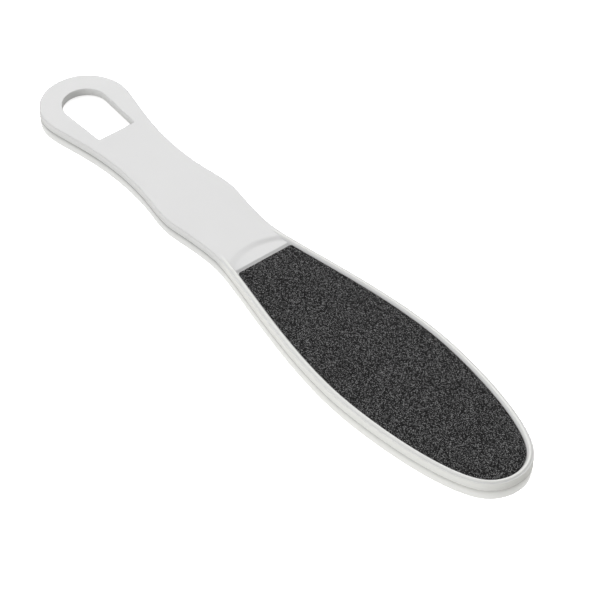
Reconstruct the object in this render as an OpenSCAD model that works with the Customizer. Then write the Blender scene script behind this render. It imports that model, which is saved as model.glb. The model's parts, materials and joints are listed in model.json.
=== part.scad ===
// Foot file: a moulded paddle with a hanging hole, a waisted grip, a thumb rest
// and a rimmed pocket on each face, and an abrasive sheet bonded into each pocket.
// The rims stand above the handle's faces, so the file lies on them.
// The handle end is at -X and the tip at +X, and the lower rim lies on Z = 0.

/* [Body] */
// Length from the handle end to the tip
overall_length = 250; // [225:1:275]
// Thickness of the moulding over its rims
body_t = 3.9; // [3.6:0.1:5]
// Thickness of the handle from face to face
handle_t = 3.1; // [2.8:0.1:3.5]
// Rounding of the outer edges
edge_r = 0.6; // [0.3:0.05:0.6]

/* [Grip] */
// Width of the round handle end
head_w = 33.7; // [31:0.1:38]
// Width of the waist behind the handle end
waist_w = 23.2; // [20:0.1:26]
// Distance of the waist from the handle end
waist_at = 56; // [50:0.5:62]
// Width of the swell that fills the palm
swell_w = 28.7; // [27:0.1:32]
// Distance of the swell from the handle end
swell_at = 85.5; // [80:0.5:90]
// Width of the neck between grip and paddle
neck_w = 24.5; // [22:0.1:26]
// Distance of the neck from the handle end
neck_at = 109.3; // [105:0.1:113]

/* [Paddle] */
// Greatest width of the paddle
paddle_w = 46; // [40:0.2:52]
// Distance of the greatest width from the tip
paddle_from_tip = 62.7; // [55:0.1:70]
// Radius of the round tip
tip_r = 14.4; // [12:0.1:16]

/* [Hanging hole] */
// Width of the hole across its round end
hole_w = 17.2; // [14:0.1:19]
// Width of the hole at its straight end
hole_foot_w = 15.6; // [12:0.1:17]
// Distance of the hole's straight end from the handle end
hole_foot_at = 36.2; // [32:0.1:40]
// Corner radius at the hole's straight end
hole_corner_r = 0.6; // [0.3:0.1:1.5]

/* [Rim] */
// Width of the rim round the pocket, at the pocket's floor
rim_w = 2.35; // [2.3:0.05:3]
// Width of the ledge outside the rim's foot
rim_at = 0.65; // [0.65:0.05:0.8]
// Width of the rounding along the rim's outer side
rim_side_w = 0.45; // [0.3:0.05:0.45]
// Width of the rounding along the rim's inner side
rim_lip_w = 0.4; // [0.3:0.05:0.4]
// Width of the ledge at the foot of that rounding
rim_ledge_w = 0.1; // [0.08:0.01:0.15]
// Width and depth of the slope from that ledge into the pocket
rim_flare = 0.4; // [0.2:0.05:0.42]
// Distance of the place where the rims start to rise from the handle end
rim_from = 110.5; // [108:0.1:112]
// Length over which the rims rise to their full height
rim_rise = 9; // [4:0.1:10]

/* [Pocket] */
// Depth of the pocket below the handle's face
pocket_depth = 1; // [0.8:0.05:1.2]
// Distance of the pocket's straight edge from the handle end
pocket_at = 120.2; // [118:0.1:124]
// Length of the slope at the pocket's straight edge
pocket_ramp = 1.1; // [0.5:0.05:2]
// Corner radius at the pocket's straight edge
pocket_corner_r = 0.8; // [0.4:0.1:2]

/* [Thumb rest] */
// Depth of the thumb rest below the handle's face
thumb_depth = 0.45; // [0.2:0.05:0.6]
// Radius of the thumb rest's curved edge
thumb_r = 20; // [16:0.1:24]
// Length of the thumb rest in front of the pocket
thumb_reach = 5.8; // [5:0.1:8]
// Length over which the face falls to the thumb rest
thumb_fall = 4.2; // [2:0.1:6]
// Width of the rim beside the thumb rest
thumb_rim_w = 2.7; // [2.7:0.1:4]

/* [Abrasive sheets] */
// Gap between a sheet and the rim
sheet_gap = 0.15; // [0.1:0.05:0.5]
// Gap between a sheet and the foot of the slope
sheet_end_gap = 0.7; // [0.3:0.05:2]
// Corner radius of a sheet at its straight edge
sheet_corner_r = 0.9; // [0.6:0.1:3]
// Thickness of the adhesive film
adhesive_t = 0.08; // [0.05:0.01:0.1]
// Thickness of the waterproof paper
paper_t = 0.2; // [0.15:0.01:0.25]
// Thickness of the coarse grit and its resin
coarse_grit_t = 0.24; // [0.18:0.01:0.3]
// Thickness of the fine grit and its resin
fine_grit_t = 0.16; // [0.1:0.01:0.2]

/* [Hidden] */

// Overrun of the cuts past a face
overrun = 0.5 * body_t;

// How far each side curve runs on straight at its start and its end,
// as shares of the curve's length
waist_shares = [0.19, 0.49];
swell_shares = [0.55, 0.30];
neck_shares = [0.20, 0.475];
paddle_shares = [0.15, 0.39];
tip_shares = [0.25, 0.23];
// Part of a turn that the round tip takes up on each side, in degrees
tip_turn = 50;

// Number of steps in the curves
head_steps = 14;
waist_steps = 14;
swell_steps = 9;
neck_steps = 9;
paddle_steps = 18;
shoulder_steps = 13;
tip_steps = 8;
corner_steps = 5;
edge_steps = 3;
lip_steps = 3;
fall_steps = 10;

// Height of the handle's upper face, with the lower one as far above Z = 0
face_z = (body_t + handle_t) / 2;
// Distance of the rounding along the rim's inner side from the outline
rim_lip_at = rim_w - rim_flare - rim_ledge_w - rim_lip_w;
head_r = head_w / 2;
pocket_x = at(pocket_at);
floor_x = pocket_x + pocket_ramp;
sheet_x = floor_x + sheet_end_gap;
// Side points beyond this place are shared by the pocket and the sheets
panel_x = sheet_x + sheet_corner_r;

// Place along X of a distance from the handle end
function at(distance) = distance - overall_length / 2;

// Points of a cubic curve from a to d, without its last point
function curve(a, b, c, d, steps) = [
    for (i = [0 : steps - 1])
        let (t = i / steps, u = 1 - t)
            u * u * u * a + 3 * u * u * t * b + 3 * u * t * t * c + t * t * t * d
];

// Curve between two places where the side runs straight along X
function side_curve(from, to, shares, steps) =
    let (run = to.x - from.x)
        curve(from, from + [shares[0] * run, 0], to - [shares[1] * run, 0], to, steps);

head_end = [at(head_r), head_r];
waist = [at(waist_at), waist_w / 2];
swell = [at(swell_at), swell_w / 2];
neck = [at(neck_at), neck_w / 2];
paddle = [at(overall_length - paddle_from_tip), paddle_w / 2];
tip_centre = [at(overall_length - tip_r), 0];
tip_start = tip_centre + tip_r * [cos(tip_turn), sin(tip_turn)];
tip_run = norm(tip_start - paddle);

// One side of the outline, from the handle end to the tip
side = concat(
    [for (i = [0 : head_steps - 1])
        let (a = 90 * i / head_steps)
            [at(head_r - head_r * cos(a)), head_r * sin(a)]],
    side_curve(head_end, waist, waist_shares, waist_steps),
    side_curve(waist, swell, swell_shares, swell_steps),
    side_curve(swell, neck, neck_shares, neck_steps),
    side_curve(neck, paddle, paddle_shares, paddle_steps),
    curve(
        paddle,
        paddle + [tip_shares[0] * tip_run, 0],
        tip_start - tip_shares[1] * tip_run * [sin(tip_turn), -cos(tip_turn)],
        tip_start,
        shoulder_steps
    ),
    [for (i = [0 : tip_steps])
        let (a = tip_turn * (1 - i / tip_steps))
            tip_centre + tip_r * [cos(a), sin(a)]]
);
last = len(side) - 1;

// A place of the side moved inwards by a distance
function inward(i, distance) =
    let (
        before = i == 0 ? [side[1].x, -side[1].y] : side[i - 1],
        after = i == last ? [side[i - 1].x, -side[i - 1].y] : side[i + 1],
        along = (after - before) / norm(after - before)
    )
        side[i] + distance * [along.y, -along.x];

// The same side moved inwards by a distance
function inset_side(distance) = [for (i = [0 : last]) inward(i, distance)];

// Share of its full height that the rim has at a place of the side
function rim_share(i) =
    let (t = min(1, max(0, (side[i].x - at(rim_from)) / rim_rise)))
        t * t * (3 - 2 * t);

// Ring round the moulding, inside its outline by a distance and above the
// handle's face by a share of the rim's height
function rim_ring(distance, share) = closed([
    for (i = [0 : last])
        concat(inward(i, distance), face_z + share * rim_share(i) * (body_t - face_z))
]);

// A point on the other side
function across(p) = [for (k = [0 : len(p) - 1]) k == 1 ? -p.y : p[k]];

// Both sides as one ring, from the tip round by +Y to the handle end and back
function closed(points) = concat(
    [for (i = [len(points) - 1 : -1 : 0]) points[i]],
    [for (i = [1 : len(points) - 2]) across(points[i])]
);

// Ring of the paddle's inside from a straight edge with round corners to the tip
function panel(distance, edge_x, corner_r) =
    let (
        inner = inset_side(distance),
        beyond = [for (i = [0 : last]) if (side[i].x > panel_x) inner[i]],
        start_x = edge_x + corner_r,
        start = [start_x, lookup(start_x, inner)],
        corner = [edge_x, lookup(edge_x, inner)],
        end = corner - [0, corner_r],
        half = concat(
            curve(end, (end + 2 * corner) / 3, (start + 2 * corner) / 3, start, corner_steps),
            [start],
            beyond
        )
    )
        concat(
            [for (i = [len(half) - 1 : -1 : 0]) half[i]],
            [for (i = [0 : len(half) - 2]) across(half[i])]
        );

// A ring lifted to a height
function lifted(ring, z) = [for (p = ring) [p.x, p.y, z]];

// Triangles between the two sides of a ring that starts at the tip
function cap(count) = [
    [0, 1, count - 1],
    for (i = [1 : ceil(count / 2) - 1])
        let (b = i + 1, c = count - b, d = count - i)
            each [if (b < d) [i, b, d], if (b < c) [b, c, d]]
];

// Closed skin through rings that have equally many points, from the lowest up
module loft(rings) {
    count = len(rings[0]);
    top = (len(rings) - 1) * count;
    polyhedron(
        points = [for (ring = rings) each ring],
        faces = concat(
            cap(count),
            [for (k = [0 : len(rings) - 2], i = [0 : count - 1])
                let (a = k * count + i, b = k * count + (i + 1) % count)
                    each [[a, a + count, b + count], [a, b + count, b]]],
            [for (t = cap(count)) [top + t[2], top + t[1], top + t[0]]]
        )
    );
}

// Children made for a face at Z = 0 go to the handle's upper or lower face
module on_upper_face() {
    translate([0, 0, face_z]) children();
}

module on_lower_face() {
    translate([0, 0, body_t - face_z]) mirror([0, 0, 1]) children();
}

// The solid moulding: its rounded edges and its rims, which stand on the
// handle's faces
module moulding() {
    edge = [
        for (step = [0 : edge_steps])
            let (a = 90 * step / edge_steps)
                lifted(closed(inset_side(edge_r * (1 - cos(a)))), face_z - edge_r * (1 - sin(a)))
    ];
    rim_side = [
        for (step = [0 : lip_steps])
            let (a = 90 * step / lip_steps)
                rim_ring(rim_at + rim_side_w * (1 - cos(a)), sin(a))
    ];
    rim_lip = [
        for (step = [0 : lip_steps])
            let (a = 90 * step / lip_steps)
                rim_ring(rim_lip_at + rim_lip_w * sin(a), cos(a))
    ];
    upper = concat(edge, rim_side, rim_lip);
    lower = [
        for (k = [len(upper) - 1 : -1 : 0])
            [for (p = upper[k]) [p.x, p.y, body_t - p.z]]
    ];
    loft(concat(lower, upper));
}

// Round towards the handle end, narrowing to a straight end
module hanging_hole() {
    foot_x = at(hole_foot_at);
    foot = hole_foot_w / 2;
    translate([0, 0, -overrun]) linear_extrude(body_t + 2 * overrun) {
        translate([at(head_r), 0]) circle(d = hole_w, $fn = 96);
        polygon([
            [at(head_r), -hole_w / 2],
            [foot_x - hole_corner_r, -foot],
            [foot_x, hole_corner_r - foot],
            [foot_x, foot - hole_corner_r],
            [foot_x - hole_corner_r, foot],
            [at(head_r), hole_w / 2]
        ]);
    }
}

// Pocket below a face at Z = 0, with a sloping straight edge and a flared rim
module pocket() {
    flare_x = pocket_x + pocket_ramp * rim_flare / pocket_depth;
    loft([
        lifted(panel(rim_w, floor_x, pocket_corner_r), -pocket_depth),
        lifted(panel(rim_w, flare_x, pocket_corner_r), -rim_flare),
        lifted(panel(rim_w - rim_flare, pocket_x, pocket_corner_r), 0),
        lifted(panel(rim_w - rim_flare, pocket_x, pocket_corner_r), overrun)
    ]);
}

// Thumb rest below a face at Z = 0: a dish that falls from a curved edge,
// kept inside the rim
module thumb_rest() {
    inner_r = thumb_r - thumb_fall / 2;
    intersection() {
        translate([pocket_x - thumb_reach + thumb_r, 0, 0])
            rotate_extrude($fn = 128)
                polygon(concat(
                    [[0, -thumb_depth]],
                    [for (i = [0 : fall_steps])
                        let (t = i / fall_steps)
                            [inner_r + thumb_fall * t, -thumb_depth * (1 + cos(180 * t)) / 2]],
                    [[inner_r + thumb_fall, overrun], [0, overrun]]
                ));
        translate([0, 0, -thumb_depth - overrun])
            linear_extrude(thumb_depth + 2 * overrun)
                polygon(closed(inset_side(thumb_rim_w)));
    }
}

module recesses() {
    pocket();
    thumb_rest();
}

module handle_body() {
    color("whitesmoke")
        difference() {
            moulding();
            hanging_hole();
            on_upper_face() recesses();
            on_lower_face() recesses();
        }
}

// One layer of a sheet, standing on the pocket's floor
module layer(height, thickness) {
    translate([0, 0, height - pocket_depth])
        linear_extrude(thickness)
            polygon(panel(rim_w + sheet_gap, sheet_x, sheet_corner_r));
}

module coarse_adhesive() {
    color("wheat") on_upper_face() layer(0, adhesive_t);
}

module coarse_paper() {
    color("dimgray") on_upper_face() layer(adhesive_t, paper_t);
}

module coarse_grit() {
    color("#343434") on_upper_face() layer(adhesive_t + paper_t, coarse_grit_t);
}

module fine_adhesive() {
    color("wheat") on_lower_face() layer(0, adhesive_t);
}

module fine_paper() {
    color("dimgray") on_lower_face() layer(adhesive_t, paper_t);
}

module fine_grit() {
    color("#404040") on_lower_face() layer(adhesive_t + paper_t, fine_grit_t);
}

handle_body();
coarse_adhesive();
coarse_paper();
coarse_grit();
fine_adhesive();
fine_paper();
fine_grit();
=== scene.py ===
# Foot file: the moulding with its rims, pockets and thumb rests, and a grit coat on each side
import json
from math import atan2, cos, hypot, pi, radians, sin, tan
import bmesh
import bpy
from mathutils import Matrix, Vector, noise

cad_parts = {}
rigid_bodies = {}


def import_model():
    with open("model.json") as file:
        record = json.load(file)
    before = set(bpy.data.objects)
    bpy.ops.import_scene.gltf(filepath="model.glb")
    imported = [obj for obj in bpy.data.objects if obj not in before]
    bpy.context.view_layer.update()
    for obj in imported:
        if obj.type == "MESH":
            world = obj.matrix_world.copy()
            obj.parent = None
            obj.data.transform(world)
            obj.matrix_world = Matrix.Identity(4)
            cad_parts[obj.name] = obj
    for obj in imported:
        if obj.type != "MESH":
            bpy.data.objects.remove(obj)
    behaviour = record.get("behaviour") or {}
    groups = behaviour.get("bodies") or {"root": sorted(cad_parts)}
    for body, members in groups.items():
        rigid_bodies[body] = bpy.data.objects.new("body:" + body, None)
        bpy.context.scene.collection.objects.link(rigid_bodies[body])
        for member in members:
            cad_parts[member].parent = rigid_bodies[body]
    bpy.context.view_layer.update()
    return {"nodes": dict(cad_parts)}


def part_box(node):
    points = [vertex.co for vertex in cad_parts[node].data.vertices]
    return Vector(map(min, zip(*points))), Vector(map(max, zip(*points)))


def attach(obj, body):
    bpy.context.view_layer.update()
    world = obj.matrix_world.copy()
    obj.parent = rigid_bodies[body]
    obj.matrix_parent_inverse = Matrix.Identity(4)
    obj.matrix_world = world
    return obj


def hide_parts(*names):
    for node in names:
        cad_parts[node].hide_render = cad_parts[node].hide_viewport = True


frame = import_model()
print("frame loaded:", sorted(frame["nodes"]))

mm = 0.001
tiny = 1e-7                               # places closer than this are the same
mergeDistance = 1e-6
bodyLow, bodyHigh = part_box("handle_body")
bodyThickness = bodyHigh.z - bodyLow.z
handleEndX = bodyLow.x
tipX = bodyHigh.x


def atDistance(distance):
    # place along X of a distance from the handle end
    return handleEndX + distance


# Outline of the moulding, shared by the body and the grit coats

outline = {
    "headRadius": 16.85 * mm,
    "waist": (56 * mm, 11.6 * mm),        # distance from the handle end, half width
    "swell": (85.5 * mm, 14.35 * mm),
    "neck": (109.3 * mm, 12.25 * mm),
    "paddle": (187.3 * mm, 23.0 * mm),
    "tipRadius": 14.4 * mm,
    "tipTurn": radians(50),
    "waistShares": (0.19, 0.49),          # how far each curve runs on straight at its ends
    "swellShares": (0.55, 0.30),
    "neckShares": (0.20, 0.475),
    "paddleShares": (0.15, 0.39),
    "tipShares": (0.25, 0.23),
    "pointSpacing": 0.7 * mm,
    "edgeSpacing": 0.06 * mm,             # closer points where the pocket's straight edge is
    "edgeReach": (0.9 * mm, 1.0 * mm),    # how far before the edge and past the slope
    "restSpacing": 0.2 * mm,              # and where the thumb rest is
    "restReach": (1.0 * mm, 2.5 * mm),    # how far before the rims' start and past the edge
    "speedStep": 0.001,                   # a curve's speed is measured over this much of its run
    "closest": 0.4,                       # share of the spacing that the last two points keep at least
}

pocket = {
    "depth": 1.0 * mm,                    # below the handle's face
    "edgeAt": 120.65 * mm,                # straight edge, from the handle end
    "ramp": 0.75 * mm,                    # run of the slope down to the floor
    "edgeRound": 0.25 * mm,
    "floorStrip": 0.8 * mm,               # past the slope, before the single face of the floor
}

rim = {
    "from": 110.5 * mm,                   # where it starts to rise above the handle's face
    "startGap": 0.4 * mm,                 # its mesh starts this far before that place
    "rise": 9.0 * mm,                     # run over which it reaches its full height
    "ledge": 0.45 * mm,                   # outside its foot
    "side": 0.6 * mm,                     # its outer side, from the foot to the crest
    "sideSteps": 8,
    "crestEnd": 1.5 * mm,                 # the rest is measured from the outline
    "lipRadius": 0.3 * mm,
    "slope": radians(50),
    "width": 2.35 * mm,                   # to the wall below the slope
    "lipSteps": 5,
    "slopeSteps": 4,
    "footRadius": 0.08 * mm,
    "footSteps": 3,
}

thumbRest = {
    "depth": 0.45 * mm,                   # below the handle's face
    "radius": 20.0 * mm,                  # of its curved border
    "reach": 6.25 * mm,                   # of the border's middle, from the pocket's straight edge
    "fall": 3.3 * mm,                     # width of the border's slope
    "columns": 73,                        # odd, so that one lies in the middle
}


def cubic(points, t):
    # place at a share t of the run of a cubic Bezier curve
    u = 1 - t
    ends = u * u * u * points[0] + t * t * t * points[3]
    return ends + 3 * u * u * t * points[1] + 3 * u * t * t * points[2]


def sideStation(station):
    return Vector((atDistance(station[0]), station[1], 0))


def sideCurve(start, end, shares):
    # both ends of the curve run along X
    run = Vector((end.x - start.x, 0, 0))
    return [start, start + shares[0] * run, end - shares[1] * run, end]


def sampled(points):
    # points along a cubic, as close together as the place asks for
    result = []
    t = 0
    while t < 1:
        here = cubic(points, t)
        result.append(here)
        speed = (cubic(points, t + outline["speedStep"]) - here).length / outline["speedStep"]
        t += spacingAt(here.x) / speed
    if (result[-1] - points[3]).length < outline["closest"] * spacingAt(points[3].x):
        result.pop()
    return result


def spacingAt(x):
    edgeX = atDistance(pocket["edgeAt"])
    before, past = outline["edgeReach"]
    if edgeX - before < x < edgeX + pocket["ramp"] + past:
        return outline["edgeSpacing"]
    before, past = outline["restReach"]
    if atDistance(rim["from"]) - before < x < edgeX + past:
        return outline["restSpacing"]
    return outline["pointSpacing"]


def halfOutline():
    # from the tip back to the handle end, on the +Y side
    headRadius = outline["headRadius"]
    tipRadius = outline["tipRadius"]
    turn = outline["tipTurn"]
    headEnd = Vector((atDistance(headRadius), headRadius, 0))
    stations = ("waist", "swell", "neck", "paddle")
    waist, swell, neck, paddle = (sideStation(outline[name]) for name in stations)
    tipCentre = Vector((tipX - tipRadius, 0, 0))
    tipStart = tipCentre + tipRadius * Vector((cos(turn), sin(turn), 0))
    run = (tipStart - paddle).length
    shoulder = [
        paddle,
        paddle + Vector((outline["tipShares"][0] * run, 0, 0)),
        tipStart - outline["tipShares"][1] * run * Vector((sin(turn), -cos(turn), 0)),
        tipStart,
    ]
    headSteps = round(pi / 2 * headRadius / outline["pointSpacing"])
    side = [
        Vector((atDistance(headRadius) - headRadius * cos(a), headRadius * sin(a), 0))
        for a in (pi / 2 * i / headSteps for i in range(headSteps))
    ]
    side += sampled(sideCurve(headEnd, waist, outline["waistShares"]))
    side += sampled(sideCurve(waist, swell, outline["swellShares"]))
    side += sampled(sideCurve(swell, neck, outline["neckShares"]))
    side += sampled(sideCurve(neck, paddle, outline["paddleShares"]))
    side += sampled(shoulder)
    tipSteps = round(turn * tipRadius / outline["pointSpacing"])
    for i in range(tipSteps + 1):
        a = turn * (1 - i / tipSteps)
        side.append(tipCentre + tipRadius * Vector((cos(a), sin(a), 0)))
    side[0].y = side[-1].y = 0
    return side[::-1]


def closedRing(half):
    # the tip first, round by +Y to the far end and back on the other side
    return half + [Vector((p.x, -p.y, 0)) for p in half[-2:0:-1]]


def movedInwards(ring, distance):
    result = []
    for i, point in enumerate(ring):
        along = (ring[(i + 1) % len(ring)] - ring[i - 1]).normalized()
        result.append(point + distance * Vector((-along.y, along.x, 0)))
    return result


halfSide = halfOutline()
outlineRing = closedRing(halfSide)
print("outline:", len(outlineRing), "points")


def newObject(name, bm, body="root"):
    mesh = bpy.data.meshes.new(name)
    bm.to_mesh(mesh)
    bm.free()
    piece = bpy.data.objects.new(name, mesh)
    bpy.context.scene.collection.objects.link(piece)
    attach(piece, body)
    return piece


def shadeSmooth(piece, sharpAngle):
    for face in piece.data.polygons:
        face.use_smooth = True
    piece.data.set_sharp_from_angle(angle=sharpAngle)


# Moulded body: the upper half is built from its middle plane up, then mirrored

moulding = {
    "handleThickness": 3.1 * mm,
    "edgeRadius": 0.38 * mm,
    "edgeSteps": 7,
    "support": 0.05 * mm,                 # flat strip next to a rounding
    "sharpAngle": radians(40),            # shading is smooth below it
    "paintedLightRise": 2.0,                    # the painted light is full where a rim has 1 over this of its height
}

hangingHole = {
    "width": 17.2 * mm,
    "footWidth": 15.6 * mm,
    "footAt": 36.2 * mm,
    "cornerRadius": 0.6 * mm,
    "cornerSteps": 6,
    "archSteps": 56,
    "sideSteps": 16,
    "lipRadius": 0.25 * mm,
    "lipSteps": 4,
}


def holeRing():
    # arch round the middle of the head, sides that close in, and a straight end
    radius = hangingHole["width"] / 2
    corner = hangingHole["cornerRadius"]
    centreX = atDistance(outline["headRadius"])
    footX = atDistance(hangingHole["footAt"])
    cornerCentre = Vector((footX - corner, hangingHole["footWidth"] / 2 - corner, 0))
    slant = atan2(radius - corner - cornerCentre.y, cornerCentre.x - centreX)
    half = []
    for i in range(hangingHole["archSteps"] + 1):
        a = pi - (pi / 2 + slant) * i / hangingHole["archSteps"]
        half.append(Vector((centreX + radius * cos(a), radius * sin(a), 0)))
    sideEnd = cornerCentre + corner * Vector((sin(slant), cos(slant), 0))
    sideStart = half[-1].copy()
    for i in range(1, hangingHole["sideSteps"]):
        half.append(sideStart.lerp(sideEnd, i / hangingHole["sideSteps"]))
    for i in range(hangingHole["cornerSteps"] + 1):
        a = (pi / 2 - slant) * (1 - i / hangingHole["cornerSteps"])
        half.append(cornerCentre + corner * Vector((cos(a), sin(a), 0)))
    for i in range(1, hangingHole["sideSteps"] + 1):
        half.append(Vector((footX, cornerCentre.y * (1 - i / hangingHole["sideSteps"]), 0)))
    half[0].y = half[-1].y = 0
    return half + [Vector((p.x, -p.y, 0)) for p in half[-2:0:-1]]


def softRamp(u, window):
    # 0 to 1 over a run of 1, with both corners rounded
    def area(v):
        return 0 if v < 0 else v * v / 2 if v < 1 else v - 0.5
    return (area(u + window) - area(u - window)) / (2 * window)


halfHeight = bodyThickness / 2            # of the rims, above the middle plane
faceHeight = moulding["handleThickness"] / 2


def rimShare(place):
    # share of its full height that the rim has here
    t = min(1, max(0, (place.x - atDistance(rim["from"])) / rim["rise"]))
    return t * t * (3 - 2 * t)


def depthAt(x, y):
    # depth of the thumb rest and the pocket between the rims, below the handle's face
    edgeX = atDistance(pocket["edgeAt"])
    centreX = edgeX - thumbRest["reach"] + thumbRest["radius"]
    innerRadius = thumbRest["radius"] - thumbRest["fall"] / 2
    t = (hypot(x - centreX, y) - innerRadius) / thumbRest["fall"]
    rest = 0 if t >= 1 and x < edgeX else thumbRest["depth"] * (1 + cos(pi * min(1, max(0, t)))) / 2
    if x > edgeX:
        rest = thumbRest["depth"]
    down = softRamp((x - edgeX) / pocket["ramp"], pocket["edgeRound"] / pocket["ramp"])
    return rest + (pocket["depth"] - rest) * down


def chainEdges(bm, ring):
    # a closed chain of edges, whose vertices remember their number
    number = bm.verts.layers.int.get("number") or bm.verts.layers.int.new("number")
    verts = [bm.verts.new(place) for place in ring]
    for i, vert in enumerate(verts):
        vert[number] = i
    return [bm.edges.new(pair) for pair in zip(verts, verts[1:] + verts[:1])]


def between(bm, edges, first, last):
    # edges whose places count from first to last, on either side of the tip
    number = bm.verts.layers.int["number"]
    count = len(outlineRing)

    def inRange(vert):
        return first <= min(vert[number], count - vert[number]) <= last

    return [e for e in edges if all(inRange(v) for v in e.verts)]


def vertsOf(geometry):
    return [part for part in geometry if isinstance(part, bmesh.types.BMVert)]


def edgesOf(geometry):
    return [part for part in geometry if isinstance(part, bmesh.types.BMEdge)]


def grown(bm, edges, ring, height):
    # the chain extruded to the same numbers of another ring, at a height
    number = bm.verts.layers.int["number"]
    new = bmesh.ops.extrude_edge_only(bm, edges=edges)["geom"]
    for vert in vertsOf(new):
        place = ring[vert[number]]
        vert.co = (place.x, place.y, height(place))
    return edgesOf(new)


def rimLevels():
    # distance inside the outline, share of the rim's height and share of the depth inside it
    height = halfHeight - faceHeight
    levels = []

    def addLevel(inside, fall):
        levels.append((inside, max(0, 1 - fall / height), max(0, fall - height) / pocket["depth"]))

    for i in range(1, rim["sideSteps"] + 1):
        t = i / rim["sideSteps"]
        addLevel(rim["ledge"] + rim["side"] * t, height * (1 + cos(pi * t)) / 2)
    for i in range(rim["lipSteps"] + 1):
        a = rim["slope"] * i / rim["lipSteps"]
        addLevel(rim["crestEnd"] + rim["lipRadius"] * sin(a), rim["lipRadius"] * (1 - cos(a)))
    lipEnd = rim["crestEnd"] + rim["lipRadius"] * sin(rim["slope"])
    lipFall = rim["lipRadius"] * (1 - cos(rim["slope"]))
    run = rim["width"] - rim["footRadius"] - lipEnd
    for i in range(1, rim["slopeSteps"] + 1):
        t = i / rim["slopeSteps"]
        addLevel(lipEnd + run * t, lipFall + tan(rim["slope"]) * run * t)
    for i in range(rim["footSteps"] + 1):
        a = pi / 2 * i / rim["footSteps"]
        inside = rim["width"] - rim["footRadius"] * cos(a) / 2
        addLevel(inside, height + pocket["depth"] - rim["footRadius"] * (1 - sin(a)))
    return levels


def levelHeight(place, up, down):
    rise = up * rimShare(place) * (halfHeight - faceHeight)
    return faceHeight + rise - down * depthAt(place.x, place.y)


def markPaintedLight(bm):
    # painted light: 1 on the paddle's outer wall and the rims' crests, where a lighter colour stands in for
    # bounce light and highlights, 0 on the handle and faces
    number = bm.verts.layers.int["number"]
    paintedLight = bm.verts.layers.float["paintedLight"]
    for vert in bm.verts:
        edge = outlineRing[vert[number]]
        if hypot(vert.co.x - edge.x, vert.co.y - edge.y) < moulding["edgeRadius"]:
            vert[paintedLight] = rimShare(edge)
        else:
            rise = (vert.co.z - faceHeight) / (halfHeight - faceHeight)
            vert[paintedLight] = min(1, max(0, moulding["paintedLightRise"] * rise))


def boundaryAt(bm, height):
    return [e for e in bm.edges if e.is_boundary and all(abs(v.co.z - height) < tiny for v in e.verts)]


def buildBody():
    bm = bmesh.new()
    bm.verts.layers.float.new("paintedLight")

    # outer wall and its rounded edge
    radius = moulding["edgeRadius"]
    edges = chainEdges(bm, outlineRing)
    for i in range(moulding["edgeSteps"] + 1):
        a = pi / 2 * i / moulding["edgeSteps"]
        edges = grown(
            bm, edges, movedInwards(outlineRing, radius * (1 - cos(a))),
            lambda place: faceHeight - radius * (1 - sin(a)),
        )
    support = moulding["support"]
    edges = grown(bm, edges, movedInwards(outlineRing, radius + support), lambda place: faceHeight)

    # rim, from where it rises on one side round the tip to the other, and down its inner side
    edgeX = atDistance(pocket["edgeAt"])
    rimX = atDistance(rim["from"]) - rim["startGap"]
    floorX = edgeX + pocket["ramp"] + pocket["floorStrip"]
    rimStart = next(i for i, p in enumerate(halfSide) if p.x < rimX)
    floorStart = next(i for i, p in enumerate(halfSide) if p.x < floorX)
    edges = between(bm, edges, 0, rimStart)
    for inside, up, down in rimLevels():
        edges = grown(
            bm, edges, movedInwards(outlineRing, inside),
            lambda place: levelHeight(place, up, down),
        )

    # thumb rest and slope between the two rims
    bridged = bmesh.ops.bridge_loops(bm, edges=between(bm, edges, floorStart, rimStart))
    across = [e for e in bridged["edges"] if e.verts[0].co.y * e.verts[1].co.y < 0]
    cut = bmesh.ops.subdivide_edges(bm, edges=across, cuts=thumbRest["columns"], use_grid_fill=True)
    for vert in vertsOf(cut["geom_inner"]):
        vert.co.z = faceHeight - depthAt(vert.co.x, vert.co.y)
    bmesh.ops.contextual_create(bm, geom=boundaryAt(bm, faceHeight - pocket["depth"]))

    # wall of the hanging hole, with a small lip
    hole = holeRing()
    lip = hangingHole["lipRadius"]
    edges = chainEdges(bm, hole)
    for i in range(hangingHole["lipSteps"] + 1):
        a = pi / 2 * i / hangingHole["lipSteps"]
        edges = grown(
            bm, edges, movedInwards(hole, lip * (1 - cos(a))),
            lambda place: faceHeight - lip * (1 - sin(a)),
        )
    grown(bm, edges, movedInwards(hole, lip + support), lambda place: faceHeight)

    # flat face of the handle as two halves that meet along the middle
    faceEdges = boundaryAt(bm, faceHeight)
    middle = sorted({v for e in faceEdges for v in e.verts if abs(v.co.y) < tiny}, key=lambda v: v.co.x)
    seams = [bm.edges.new(middle[0:2]), bm.edges.new(middle[2:4])]
    for side in (1, -1):
        half = [e for e in faceEdges if all(side * v.co.y > -tiny for v in e.verts)]
        bmesh.ops.contextual_create(bm, geom=half + seams)

    markPaintedLight(bm)

    # lower half
    everything = bm.verts[:] + bm.edges[:] + bm.faces[:]
    bmesh.ops.mirror(bm, geom=everything, matrix=Matrix.Identity(4), axis="Z", merge_dist=mergeDistance)
    bmesh.ops.translate(bm, vec=(0, 0, halfHeight), verts=bm.verts)
    bmesh.ops.recalc_face_normals(bm, faces=bm.faces)
    openEdges = sum(1 for e in bm.edges if not e.is_manifold)
    print("body:", len(bm.verts), "vertices,", len(bm.faces), "faces,", openEdges, "open edges")
    piece = newObject("moulded_body", bm)
    shadeSmooth(piece, moulding["sharpAngle"])
    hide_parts("handle_body")
    return piece


# Grit coats: a grid fitted to the sheet's outline, with grains standing out of the resin

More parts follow.
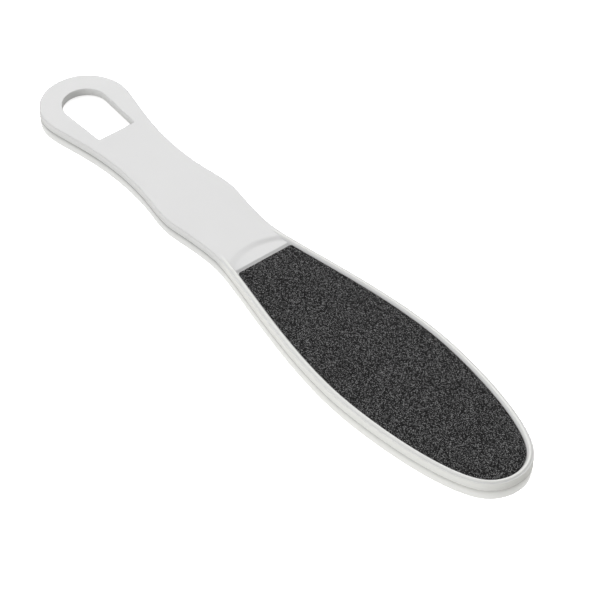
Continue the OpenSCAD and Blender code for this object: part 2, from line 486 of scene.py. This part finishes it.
gritCoats = {
    "spacing": 0.3 * mm,
    "gap": 0.15 * mm,                     # between the sheet and the rim
    "endGap": 0.6 * mm,                   # between the sheet and the foot of the slope
    "cornerRadius": 0.9 * mm,
    "cornerSteps": 8,
    "sharpAngle": radians(70),            # shading is smooth below it
    "reach": 0.62,                        # how far a grain reaches, as a share of its cell
    "bluntness": 0.7,                     # below 1 the grains have blunt tops
    "tallness": (0.6, 0.4),               # a grain's height, and how much of it varies
    "patch": 2.3,                         # size of the patches that vary, in grains
    "sunk": 0.45,                         # share of the height below the sheet's surface
    "borderShare": 0.35,                  # lower grains along the sheet's border
    "coarse": {"grain": 0.36 * mm, "height": 0.13 * mm, "node": "coarse_grit", "up": 1},
    "fine": {"grain": 0.32 * mm, "height": 0.06 * mm, "node": "fine_grit", "up": -1},
}


def sheetHalf():
    # from the tip back along the +Y side and round the corner to the straight edge
    inner = movedInwards(outlineRing, rim["width"] + gritCoats["gap"])[:len(halfSide)]
    corner = gritCoats["cornerRadius"]
    startX = atDistance(pocket["edgeAt"]) + pocket["ramp"] + gritCoats["endGap"]
    side = [p for p in inner if p.x > startX + corner]
    centre = Vector((startX + corner, side[-1].y - corner, 0))
    for i in range(gritCoats["cornerSteps"] + 1):
        a = pi / 2 * i / gritCoats["cornerSteps"]
        side.append(centre + corner * Vector((-sin(a), cos(a), 0)))
    side[0].y = 0
    return side


def evenlySpaced(points, spacing):
    total = sum((b - a).length for a, b in zip(points, points[1:]))
    count = round(total / spacing)
    result = [points[0]]
    walked, target = 0, total / count
    for a, b in zip(points, points[1:]):
        length = (b - a).length
        while len(result) < count and walked + length >= target:
            result.append(a.lerp(b, (target - walked) / length))
            target += total / count
        walked += length
    return result + [points[-1]]


def grainRelief(x, y, size):
    # height of the grains here, as a share of the coat's
    cell = noise.voronoi(Vector((x, y, size)) / size)[0]
    grain = max(0, 1 - cell[0] / gritCoats["reach"]) ** gritCoats["bluntness"]
    tallness, variation = gritCoats["tallness"]
    tall = tallness + variation * noise.noise(Vector((x, y, 0)) / (gritCoats["patch"] * size))
    return grain * tall - gritCoats["sunk"]


def buildGrit(name, coat, rows):
    low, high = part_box(coat["node"])
    surface, back = (high.z, low.z) if coat["up"] > 0 else (low.z, high.z)
    widest = max(p.y for p in rows)
    columns = round(2 * widest / gritCoats["spacing"])
    bm = bmesh.new()
    bmesh.ops.create_grid(bm, x_segments=len(rows) - 1, y_segments=columns, size=1)
    for vert in bm.verts:
        row = rows[round((vert.co.x + 1) / 2 * (len(rows) - 1))]
        x, y = row.x, row.y * vert.co.y
        share = gritCoats["borderShare"] if vert.is_boundary else 1
        vert.co = (x, y, surface + coat["up"] * coat["height"] * grainRelief(x, y, coat["grain"]) * share)
    bmesh.ops.remove_doubles(bm, verts=bm.verts, dist=tiny)
    border = [e for e in bm.edges if e.is_boundary]
    skirt = bmesh.ops.extrude_edge_only(bm, edges=border)["geom"]
    for vert in vertsOf(skirt):
        vert.co.z = back
    bmesh.ops.contextual_create(bm, geom=edgesOf(skirt))
    bmesh.ops.recalc_face_normals(bm, faces=bm.faces)
    openEdges = sum(1 for e in bm.edges if not e.is_manifold)
    print(name + ":", len(bm.verts), "vertices,", openEdges, "open edges")
    piece = newObject(name, bm)
    shadeSmooth(piece, gritCoats["sharpAngle"])
    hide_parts(coat["node"])
    return piece


# Materials

def newMaterial(name):
    material = bpy.data.materials.new(name)
    material.use_nodes = True
    nodes = material.node_tree.nodes
    nodes.clear()
    output = nodes.new("ShaderNodeOutputMaterial")
    return material, nodes, material.node_tree.links, output


def newGroup(name, inputs, outputs):
    group = bpy.data.node_groups.new(name, "ShaderNodeTree")
    for label, kind, value in inputs:
        socket = group.interface.new_socket(name=label, in_out="INPUT", socket_type=kind)
        if value is not None:
            socket.default_value = value
    for label, kind in outputs:
        group.interface.new_socket(name=label, in_out="OUTPUT", socket_type=kind)
    return group, group.nodes.new("NodeGroupInput"), group.nodes.new("NodeGroupOutput")


mottleLook = {
    "scale": 60.0,
    "detail": 3.0,
    "spread": (0.3, 0.7),                 # the noise's values that become 0 and 1
}


def mottleGroup():
    # soft cloudy variation between 0 and 1
    group, inputs, outputs = newGroup(
        "soft mottle",
        [
            ("Vector", "NodeSocketVector", None),
            ("Scale", "NodeSocketFloat", mottleLook["scale"]),
            ("Detail", "NodeSocketFloat", mottleLook["detail"]),
        ],
        [("Value", "NodeSocketFloat")],
    )
    clouds = group.nodes.new("ShaderNodeTexNoise")
    spread = group.nodes.new("ShaderNodeMapRange")
    spread.inputs["From Min"].default_value = mottleLook["spread"][0]
    spread.inputs["From Max"].default_value = mottleLook["spread"][1]
    group.links.new(inputs.outputs["Vector"], clouds.inputs["Vector"])
    group.links.new(inputs.outputs["Scale"], clouds.inputs["Scale"])
    group.links.new(inputs.outputs["Detail"], clouds.inputs["Detail"])
    group.links.new(clouds.outputs["Fac"], spread.inputs["Value"])
    group.links.new(spread.outputs["Result"], outputs.inputs["Value"])
    return group


grainLook = {
    "scale": 2600.0,
    "lit": (0.35, 1.0),                   # a cell's own value, from dark grains to light ones
    "cap": (0.7, 0.25),                   # distance from a grain's middle, from the resin to its cap
    "fineDetail": 4,
    "fineScale": 0.55,
    "fineShare": 0.6,
}


def grainGroup():
    # abrasive grains: their height, and how light each one is, partly their own colour and partly a painted
    # glint few are light, and the resin between them is dark
    group, inputs, outputs = newGroup(
        "abrasive grain",
        [("Vector", "NodeSocketVector", None), ("Scale", "NodeSocketFloat", grainLook["scale"])],
        [("Height", "NodeSocketFloat"), ("Shade", "NodeSocketFloat")],
    )
    cells = group.nodes.new("ShaderNodeTexVoronoi")
    cells.feature = "F1"
    own = group.nodes.new("ShaderNodeSeparateColor")
    lit = group.nodes.new("ShaderNodeMapRange")
    lit.interpolation_type = "SMOOTHSTEP"
    lit.inputs["From Min"].default_value = grainLook["lit"][0]
    lit.inputs["From Max"].default_value = grainLook["lit"][1]
    cap = group.nodes.new("ShaderNodeMapRange")
    cap.interpolation_type = "SMOOTHSTEP"
    cap.inputs["From Min"].default_value = grainLook["cap"][0]
    cap.inputs["From Max"].default_value = grainLook["cap"][1]
    fine = group.nodes.new("ShaderNodeTexNoise")
    fine.inputs["Detail"].default_value = grainLook["fineDetail"]
    fineScale = group.nodes.new("ShaderNodeMath")
    fineScale.operation = "MULTIPLY"
    fineScale.inputs[1].default_value = grainLook["fineScale"]
    height = group.nodes.new("ShaderNodeMath")
    height.operation = "SUBTRACT"
    height.inputs[0].default_value = 1
    rough = group.nodes.new("ShaderNodeMath")
    rough.operation = "MULTIPLY_ADD"
    rough.inputs[1].default_value = grainLook["fineShare"]
    shade = group.nodes.new("ShaderNodeMath")
    shade.operation = "MULTIPLY"
    links = group.links
    links.new(inputs.outputs["Vector"], cells.inputs["Vector"])
    links.new(inputs.outputs["Scale"], cells.inputs["Scale"])
    links.new(inputs.outputs["Vector"], fine.inputs["Vector"])
    links.new(inputs.outputs["Scale"], fineScale.inputs[0])
    links.new(fineScale.outputs[0], fine.inputs["Scale"])
    links.new(cells.outputs["Distance"], height.inputs[1])
    links.new(fine.outputs["Fac"], rough.inputs[0])
    links.new(height.outputs[0], rough.inputs[2])
    links.new(rough.outputs[0], outputs.inputs["Height"])
    links.new(cells.outputs["Color"], own.inputs["Color"])
    links.new(own.outputs["Red"], lit.inputs["Value"])
    links.new(cells.outputs["Distance"], cap.inputs["Value"])
    links.new(lit.outputs["Result"], shade.inputs[0])
    links.new(cap.outputs["Result"], shade.inputs[1])
    links.new(shade.outputs[0], outputs.inputs["Shade"])
    return group


softMottle = mottleGroup()
abrasiveGrain = grainGroup()

whitePlastic = {
    "colour": (0.80, 0.80, 0.797, 1),
    "shadedColour": (0.78, 0.78, 0.778, 1),
    # painted light: lighter colour of the paddle's outer wall and the rims' crests
    "paintedLightColour": (0.905, 0.905, 0.88, 1),
    "roughness": (0.18, 0.265),           # from about 0.27 the denoiser leaves pale spots
    "ior": 1.49,
    "tone": {"Scale": 28, "Detail": 2},
    "smudge": {"Scale": 140, "Detail": 5},
    "peel": {"Scale": 900, "Detail": 1},
    "peelDepth": 0.004 * mm,
}


def placedGroup(nodes, links, group, coordinates, **values):
    node = nodes.new("ShaderNodeGroup")
    node.node_tree = group
    links.new(coordinates, node.inputs["Vector"])
    for label, value in values.items():
        node.inputs[label].default_value = value
    return node


def mixedColour(nodes, links, factor, first, second):
    mix = nodes.new("ShaderNodeMix")
    mix.data_type = "RGBA"
    mix.inputs["A"].default_value = first
    mix.inputs["B"].default_value = second
    links.new(factor, mix.inputs["Factor"])
    return mix.outputs["Result"]


def spreadTo(nodes, links, value, low, high):
    spread = nodes.new("ShaderNodeMapRange")
    spread.inputs["To Min"].default_value = low
    spread.inputs["To Max"].default_value = high
    links.new(value, spread.inputs["Value"])
    return spread.outputs["Result"]


def bumped(nodes, links, height, distance):
    bump = nodes.new("ShaderNodeBump")
    bump.inputs["Distance"].default_value = distance
    links.new(height, bump.inputs["Height"])
    return bump.outputs["Normal"]


def whitePlasticMaterial():
    material, nodes, links, output = newMaterial("white gloss plastic")
    coordinates = nodes.new("ShaderNodeTexCoord").outputs["Object"]
    tone, smudge, peel = (
        placedGroup(nodes, links, softMottle, coordinates, **whitePlastic[name]).outputs["Value"]
        for name in ("tone", "smudge", "peel")
    )
    shader = nodes.new("ShaderNodeBsdfPrincipled")
    shader.inputs["IOR"].default_value = whitePlastic["ior"]
    colour = mixedColour(nodes, links, tone, whitePlastic["colour"], whitePlastic["shadedColour"])

    # painted light: the paddle's outer wall and the rims' crests get a lighter colour in place of bounce
    # light and highlights
    paintedLight = nodes.new("ShaderNodeAttribute")
    paintedLight.attribute_name = "paintedLight"
    lighter = nodes.new("ShaderNodeMix")
    lighter.data_type = "RGBA"
    lighter.inputs["B"].default_value = whitePlastic["paintedLightColour"]
    links.new(colour, lighter.inputs["A"])
    links.new(paintedLight.outputs["Fac"], lighter.inputs["Factor"])
    links.new(lighter.outputs["Result"], shader.inputs["Base Color"])
    roughness = spreadTo(nodes, links, smudge, *whitePlastic["roughness"])
    links.new(roughness, shader.inputs["Roughness"])
    links.new(bumped(nodes, links, peel, whitePlastic["peelDepth"]), shader.inputs["Normal"])
    links.new(shader.outputs["BSDF"], output.inputs["Surface"])
    return material


gritFinish = {
    "ior": 1.5,
    "specular": 0.1,
    "roughness": (0.62, 0.42),            # of the resin and of the light grains
    "coarse": {
        "scale": 3500,
        "resin": (0.002, 0.002, 0.002, 1),
        "grains": (0.40, 0.40, 0.402, 1),
        "bump": 0.14 * mm,
    },
    "fine": {
        "scale": 4200,
        "resin": (0.010, 0.010, 0.010, 1),
        "grains": (0.18, 0.18, 0.182, 1),
        "bump": 0.05 * mm,
    },
}


def gritMaterial(name, finish):
    material, nodes, links, output = newMaterial(name)
    coordinates = nodes.new("ShaderNodeTexCoord").outputs["Object"]
    grain = placedGroup(nodes, links, abrasiveGrain, coordinates, Scale=finish["scale"])
    shader = nodes.new("ShaderNodeBsdfPrincipled")
    shader.inputs["IOR"].default_value = gritFinish["ior"]
    shader.inputs["Specular IOR Level"].default_value = gritFinish["specular"]
    shade = grain.outputs["Shade"]
    # painted glint: a grain's lighter colour is partly its own and partly stands in for glints off its
    # facets
    colour = mixedColour(nodes, links, shade, finish["resin"], finish["grains"])
    links.new(colour, shader.inputs["Base Color"])
    links.new(spreadTo(nodes, links, shade, *gritFinish["roughness"]), shader.inputs["Roughness"])
    links.new(bumped(nodes, links, grain.outputs["Height"], finish["bump"]), shader.inputs["Normal"])
    links.new(shader.outputs["BSDF"], output.inputs["Surface"])
    return material


backing = {
    "fibreDetail": 4,
    "fibreDepth": 0.01 * mm,
    "paper": {
        "dark": (0.035, 0.035, 0.036, 1),
        "pale": (0.075, 0.073, 0.070, 1),
        "scale": 1500,
        "roughness": (0.6, 0.8),
    },
    "film": {
        "dark": (0.50, 0.44, 0.30, 1),
        "pale": (0.66, 0.60, 0.45, 1),
        "scale": 700,
        "roughness": (0.3, 0.45),
    },
}


def backingMaterial(name, finish):
    material, nodes, links, output = newMaterial(name)
    coordinates = nodes.new("ShaderNodeTexCoord").outputs["Object"]
    clouds = {"Scale": finish["scale"], "Detail": backing["fibreDetail"]}
    fibre = placedGroup(nodes, links, softMottle, coordinates, **clouds).outputs["Value"]
    shader = nodes.new("ShaderNodeBsdfPrincipled")
    links.new(mixedColour(nodes, links, fibre, finish["dark"], finish["pale"]), shader.inputs["Base Color"])
    links.new(spreadTo(nodes, links, fibre, *finish["roughness"]), shader.inputs["Roughness"])
    links.new(bumped(nodes, links, fibre, backing["fibreDepth"]), shader.inputs["Normal"])
    links.new(shader.outputs["BSDF"], output.inputs["Surface"])
    return material


def dress(piece, material):
    piece.data.materials.clear()
    piece.data.materials.append(material)


body = buildBody()
dress(body, whitePlasticMaterial())
sheetRows = evenlySpaced(sheetHalf(), gritCoats["spacing"])[::-1]
for side in ("coarse", "fine"):
    grit = buildGrit(side + "_grains", gritCoats[side], sheetRows)
    dress(grit, gritMaterial(side + " grit", gritFinish[side]))
paperMaterial = backingMaterial("waterproof paper", backing["paper"])
filmMaterial = backingMaterial("adhesive film", backing["film"])
for side in ("coarse", "fine"):
    dress(frame["nodes"][side + "_paper"], paperMaterial)
    dress(frame["nodes"][side + "_adhesive"], filmMaterial)
print("pieces dressed")

# Studio: a glossy white table, a large soft lamp behind, a low one in front and a pale surrounding

studio = {
    "floorSize": 6.0,
    "floorDrop": 0.02 * mm,
    "floorColour": (0.955, 0.955, 0.92, 1),
    "floorLift": 0.65,                    # what the camera alone sees added
    "mirrorShare": 0.7,
    "mirrorRoughness": 0.03,
    "ambient": 0.40,
    "horizon": 0.4,                       # how bright the room's horizon is in reflections
    "horizonTop": 0.5,                    # sine of the angle above it where reflections are white
    "keyLight": {"size": 4.4, "place": (-3.0, 3.4, 3.95), "power": 174, "reflected": True},
    "sideLight": {"size": 2.4, "place": (-0.3, -4.9, 1.0), "power": 100, "reflected": False},
    "openingPlace": (-0.1030, 0, 0),      # of the part of the table that shows through the hanging hole
    "openingSize": (18 * mm, 12.5 * mm, 1),
    "openingEdge": (1.1, 1.0),            # its soft border, from outside to inside
    "openingLift": 2.5,                   # painted light: what the camera sees added there, where the hole shades it and shows in it
}


def floorMaterial():
    # white to the camera, darker only where the object shades it or shows in it, save under the hanging
    # hole, where painted light covers both
    material, nodes, links, output = newMaterial("table top")
    rays = nodes.new("ShaderNodeLightPath")
    matt = nodes.new("ShaderNodeBsdfDiffuse")
    matt.inputs["Color"].default_value = studio["floorColour"]
    place = nodes.new("ShaderNodeMapping")
    place.vector_type = "TEXTURE"
    place.inputs["Location"].default_value = studio["openingPlace"]
    place.inputs["Scale"].default_value = studio["openingSize"]
    links.new(nodes.new("ShaderNodeTexCoord").outputs["Object"], place.inputs["Vector"])
    reach = nodes.new("ShaderNodeVectorMath")
    reach.operation = "LENGTH"
    links.new(place.outputs["Vector"], reach.inputs[0])
    opening = nodes.new("ShaderNodeMapRange")
    opening.inputs["From Min"].default_value = studio["openingEdge"][0]
    opening.inputs["From Max"].default_value = studio["openingEdge"][1]
    opening.inputs["To Min"].default_value = studio["floorLift"]
    opening.inputs["To Max"].default_value = studio["openingLift"]
    links.new(reach.outputs["Value"], opening.inputs["Value"])
    seen = nodes.new("ShaderNodeMath")
    seen.operation = "MULTIPLY"
    links.new(opening.outputs["Result"], seen.inputs[0])
    links.new(rays.outputs["Is Camera Ray"], seen.inputs[1])
    lift = nodes.new("ShaderNodeEmission")
    links.new(seen.outputs[0], lift.inputs["Strength"])
    lifted = nodes.new("ShaderNodeAddShader")
    links.new(matt.outputs[0], lifted.inputs[0])
    links.new(lift.outputs[0], lifted.inputs[1])
    mirror = nodes.new("ShaderNodeBsdfGlossy")
    mirror.inputs["Roughness"].default_value = studio["mirrorRoughness"]
    both = nodes.new("ShaderNodeMixShader")
    mirrored = spreadTo(nodes, links, rays.outputs["Is Camera Ray"], 0, studio["mirrorShare"])
    links.new(mirrored, both.inputs["Fac"])
    links.new(lifted.outputs[0], both.inputs[1])
    links.new(mirror.outputs[0], both.inputs[2])
    links.new(both.outputs[0], output.inputs["Surface"])
    return material


def buildFloor():
    bm = bmesh.new()
    bmesh.ops.create_grid(bm, x_segments=1, y_segments=1, size=studio["floorSize"] / 2)
    bmesh.ops.translate(bm, vec=(0, 0, -studio["floorDrop"]), verts=bm.verts)
    mesh = bpy.data.meshes.new("table_top")
    bm.to_mesh(mesh)
    bm.free()
    floor = bpy.data.objects.new("table_top", mesh)
    bpy.context.scene.collection.objects.link(floor)
    floor.data.materials.append(floorMaterial())


def addLight(name, settings):
    light = bpy.data.lights.new(name, "AREA")
    light.shape = "SQUARE"
    light.size = settings["size"]
    light.energy = settings["power"]
    lamp = bpy.data.objects.new(name, light)
    lamp.visible_glossy = settings["reflected"]
    lamp.location = settings["place"]
    lamp.rotation_euler = (-Vector(settings["place"])).to_track_quat("-Z", "Y").to_euler()
    bpy.context.scene.collection.objects.link(lamp)


def buildWorld():
    world = bpy.data.worlds.new("pale studio")
    world.use_nodes = True
    nodes, links = world.node_tree.nodes, world.node_tree.links
    nodes.clear()
    output = nodes.new("ShaderNodeOutputWorld")
    rays = nodes.new("ShaderNodeLightPath")
    direction = nodes.new("ShaderNodeSeparateXYZ")
    links.new(nodes.new("ShaderNodeTexCoord").outputs["Generated"], direction.inputs["Vector"])
    height = nodes.new("ShaderNodeMapRange")
    height.inputs["From Max"].default_value = studio["horizonTop"]
    height.inputs["To Min"].default_value = studio["horizon"]
    links.new(direction.outputs["Z"], height.inputs["Value"])
    reflected = nodes.new("ShaderNodeMix")
    reflected.inputs["A"].default_value = studio["ambient"]
    links.new(rays.outputs["Is Glossy Ray"], reflected.inputs["Factor"])
    links.new(height.outputs["Result"], reflected.inputs["B"])
    seen = nodes.new("ShaderNodeMix")
    seen.inputs["B"].default_value = 1
    links.new(rays.outputs["Is Camera Ray"], seen.inputs["Factor"])
    links.new(reflected.outputs["Result"], seen.inputs["A"])
    background = nodes.new("ShaderNodeBackground")
    background.inputs["Color"].default_value = (1, 1, 1, 1)
    links.new(seen.outputs["Result"], background.inputs["Strength"])
    links.new(background.outputs[0], output.inputs["Surface"])
    bpy.context.scene.world = world


buildFloor()
buildWorld()
addLight("key_softbox", studio["keyLight"])
addLight("side_softbox", studio["sideLight"])

# Camera

view = {
    "lookAt": (0.02094, -0.00382, 0.0039),
    "distance": 0.8217,
    "azimuth": radians(51.17),
    "elevation": radians(44.07),
    "lens": 147.85,
    "sensorWidth": 36,
}


def buildCamera():
    a, e = view["azimuth"], view["elevation"]
    backwards = Vector((sin(a) * cos(e), -cos(a) * cos(e), sin(e)))
    data = bpy.data.cameras.new("camera")
    data.lens = view["lens"]
    data.sensor_width = view["sensorWidth"]
    camera = bpy.data.objects.new("camera", data)
    camera.location = Vector(view["lookAt"]) + view["distance"] * backwards
    camera.rotation_euler = (-backwards).to_track_quat("-Z", "Y").to_euler()
    bpy.context.scene.collection.objects.link(camera)
    bpy.context.scene.camera = camera


buildCamera()
bpy.context.scene.view_settings.view_transform = "Standard"
print("studio ready")
